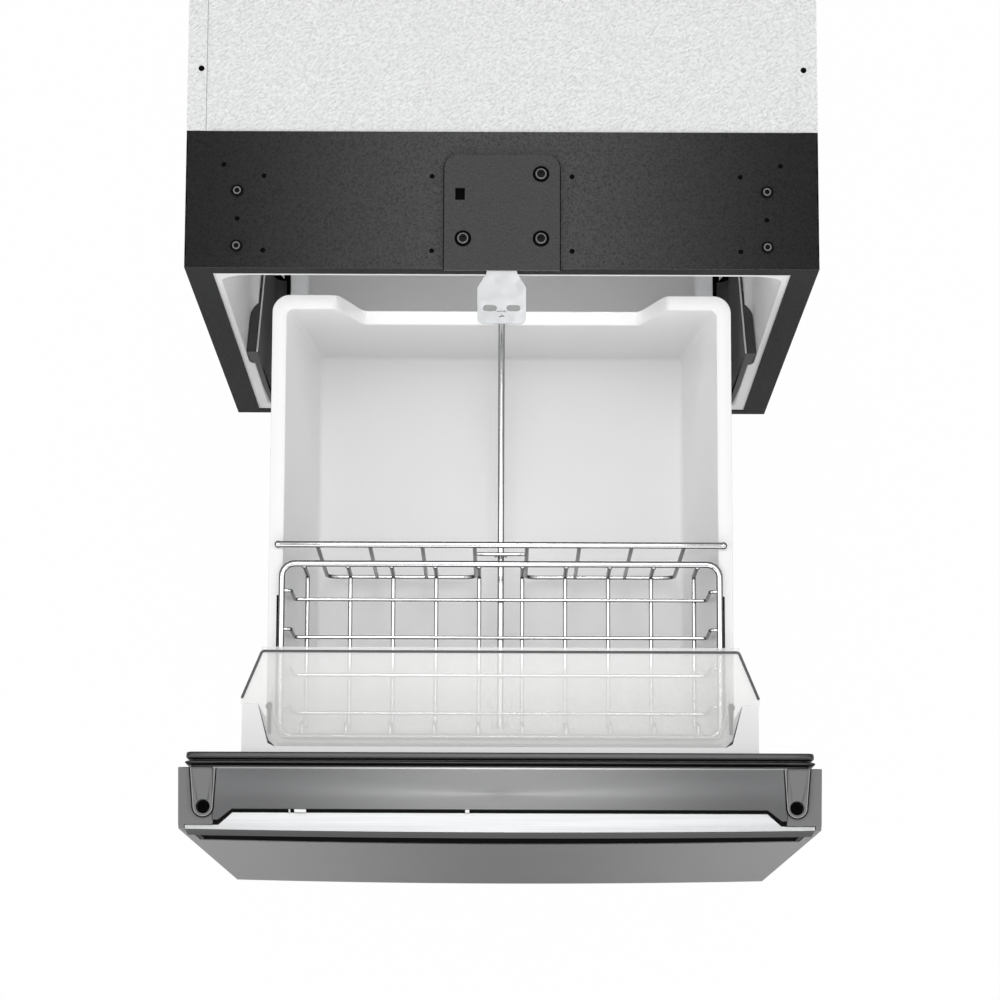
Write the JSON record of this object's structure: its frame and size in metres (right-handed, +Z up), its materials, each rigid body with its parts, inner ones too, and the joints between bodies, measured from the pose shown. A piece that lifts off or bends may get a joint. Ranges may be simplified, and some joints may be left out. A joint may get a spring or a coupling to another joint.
{
  "type": "undercounter drawer refrigerator",
  "caption": "Undercounter refrigerator whose full-height front pulls out on telescopic slides with moulded bins, a wire basket, a sliding comb divider and a clear cover.",
  "frame": {"origin": "on the floor, under the middle of the open object's bounding box", "axes": "+X to the right seen from the front, +Y to the back, +Z up; the drawer opens towards -Y"},
  "size_m": [0.603, 1.0736, 0.8753],
  "materials": {
    "black_paint": "satin",
    "white_sheet": "embossed satin",
    "galvanised": "galvanised",
    "slide_steel": "zinc plated",
    "foam": "rigid foam",
    "white_plastic": "gloss",
    "bin_plastic": "gloss",
    "black_plastic": "matte",
    "screw_steel": "satin",
    "black_steel": "satin",
    "aluminium": "mill",
    "rubber": "matte",
    "copper": "drawn",
    "stainless": "brushed",
    "handle_metal": "brushed",
    "grey_trim": "satin",
    "wire": "plated",
    "clear_plastic": "clear"
  },
  "bodies": {
    "cabinet": {"front_frame": "black_paint", "top_front_rail": "black_paint", "left_side_panel": "white_sheet", "right_side_panel": "white_sheet", "top_panel": "white_sheet", "back_panel": "galvanised", "insulation_foam": "foam", "liner": "white_plastic", "floor_panel": "galvanised", "base_pan": "galvanised", "toe_grille": "black_plastic", "levelling_feet": "black_plastic", "counter_bracket": "black_paint", "counter_tab": "galvanised", "bracket_screws": "screw_steel", "rail_screws": "screw_steel", "slide_brackets": "galvanised", "left_slide_outer": "slide_steel", "right_slide_outer": "slide_steel", "evaporator_cover": "white_plastic", "evaporator": "aluminium", "evaporator_fan_motor": "black_plastic", "compressor": "black_steel", "compressor_grommets": "rubber", "condenser": "black_steel", "condenser_fan_shroud": "black_plastic", "drain_pan": "white_plastic", "control_box": "black_plastic", "cord_gland": "black_plastic", "refrigerant_lines": "copper"},
    "slide_middles": {"left_slide_middle": "slide_steel", "right_slide_middle": "slide_steel"},
    "drawer": {"left_slide_inner": "slide_steel", "right_slide_inner": "slide_steel", "left_carriage_plate": "galvanised", "right_carriage_plate": "galvanised", "front_panel": "stainless", "front_foam": "foam", "front_top_foam": "foam", "front_inner_panel": "white_plastic", "gasket": "rubber", "top_trim": "grey_trim", "left_end_cap": "grey_trim", "right_end_cap": "grey_trim", "end_cap_screws": "screw_steel", "handle": "handle_metal", "handle_scoop": "black_plastic", "upper_bin": "bin_plastic", "bin_screws": "screw_steel", "lower_bin": "bin_plastic", "centre_rod": "wire", "wire_basket": "wire", "clear_cover": "clear_plastic", "cover_clips": "black_plastic"},
    "divider": {"comb_divider": "wire"},
    "evaporator_fan": {"evaporator_fan": "black_plastic"},
    "condenser_fan": {"condenser_fan": "black_plastic"}
  },
  "joints": [
    {"name": "drawer_slide", "type": "slide", "parent": "cabinet", "child": "drawer", "axis": [0, 1, 0], "range_m": [0, 0.459]},
    {"name": "slide_middle", "type": "slide", "parent": "cabinet", "child": "slide_middles", "axis": [0, 1, 0], "range_m": [0, 0.2295]},
    {"name": "divider_slide", "type": "slide", "parent": "drawer", "child": "divider", "axis": [0, 1, 0], "range_m": [-0.01, 0.2]},
    {"name": "evaporator_fan_spin", "type": "hinge", "parent": "cabinet", "child": "evaporator_fan", "pos_m": [0, 0.46576, 0.7], "axis": [0, 1, 0], "continuous": true},
    {"name": "condenser_fan_spin", "type": "hinge", "parent": "cabinet", "child": "condenser_fan", "pos_m": [-0.02, 0.25976, 0.082], "axis": [0, 1, 0], "continuous": true}
  ],
  "couplings": [
    {"joint": "slide_middle", "follows": "drawer_slide", "ratio": 0.5}
  ]
}
